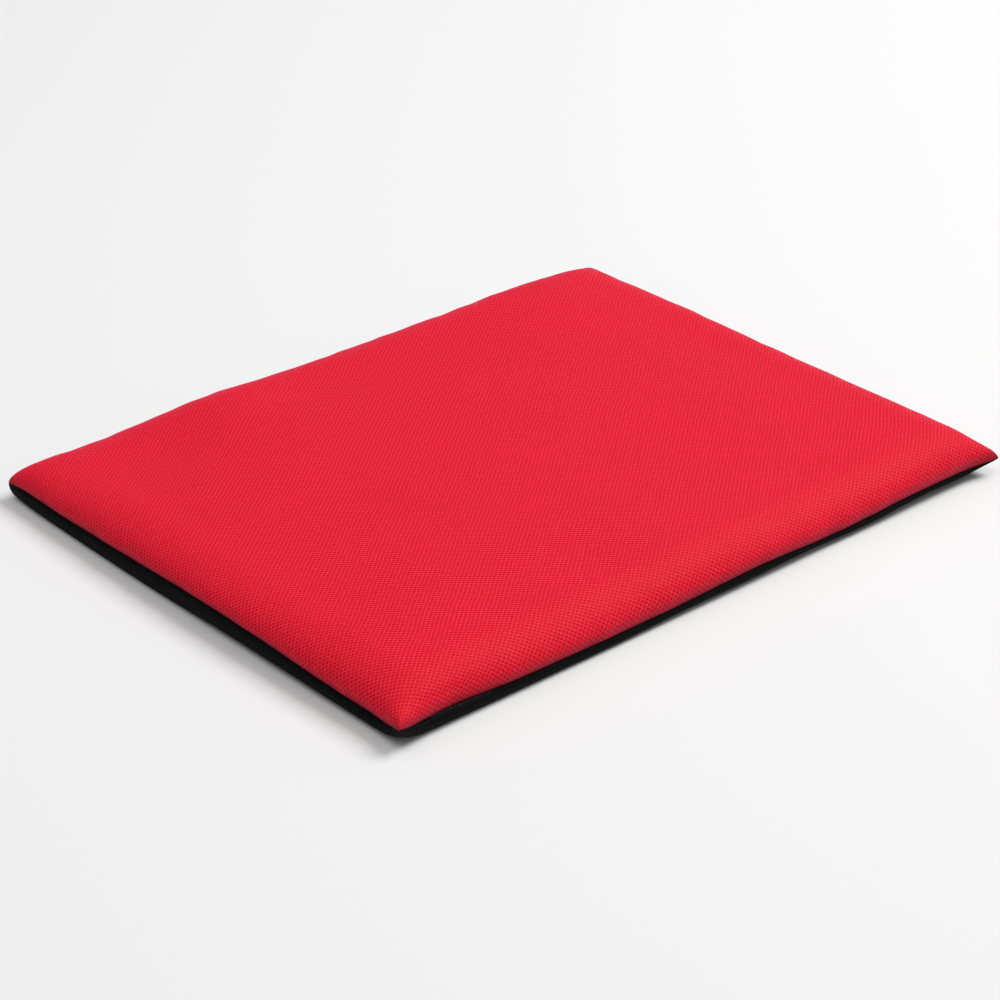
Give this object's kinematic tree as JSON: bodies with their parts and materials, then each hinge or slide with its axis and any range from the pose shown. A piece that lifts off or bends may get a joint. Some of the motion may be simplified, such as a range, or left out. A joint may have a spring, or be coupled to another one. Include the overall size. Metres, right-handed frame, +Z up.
{
  "type": "padded landing mat",
  "caption": "Thin rectangular padded mat: bright red mesh top cover sewn to a black base cover round a soft slab, with a zip in one long side.",
  "frame": {"origin": "centre of the underside, on the surface the mat lies on", "axes": "+X along the long sides, +Y towards the long side with the zip, +Z up through the crowned top"},
  "size_m": [0.6, 0.44, 0.038],
  "materials": {
    "mesh_cloth": "matte",
    "base_cloth": "matte",
    "foam": "matte",
    "wadding": "matte",
    "thread": "matte",
    "zip_tape": "matte",
    "zip_coil": "satin",
    "zip_metal": "satin"
  },
  "bodies": {
    "mat": {"top_cover": "mesh_cloth", "base_cover": "base_cloth", "foam_slab": "foam", "wadding_sheet": "wadding", "seam_thread": "thread", "zip_tape_upper": "zip_tape", "zip_tape_lower": "zip_tape", "zip_coil_upper": "zip_coil", "zip_coil_lower": "zip_coil", "zip_closed_stop": "zip_metal", "zip_open_stop": "zip_metal", "zip_stitching_upper": "thread", "zip_stitching_lower": "thread"},
    "slider": {"zip_slider": "zip_metal"},
    "pull": {"zip_pull": "zip_metal"}
  },
  "joints": [
    {"name": "zip_run", "type": "slide", "parent": "mat", "child": "slider", "axis": [-1, 0, 0], "range_m": [0, 0.47]},
    {"name": "pull_swing", "type": "hinge", "parent": "slider", "child": "pull", "pos_m": [0.235, 0.2156, 0.0145], "axis": [0, 0, -1], "range_deg": [0, 178]}
  ]
}
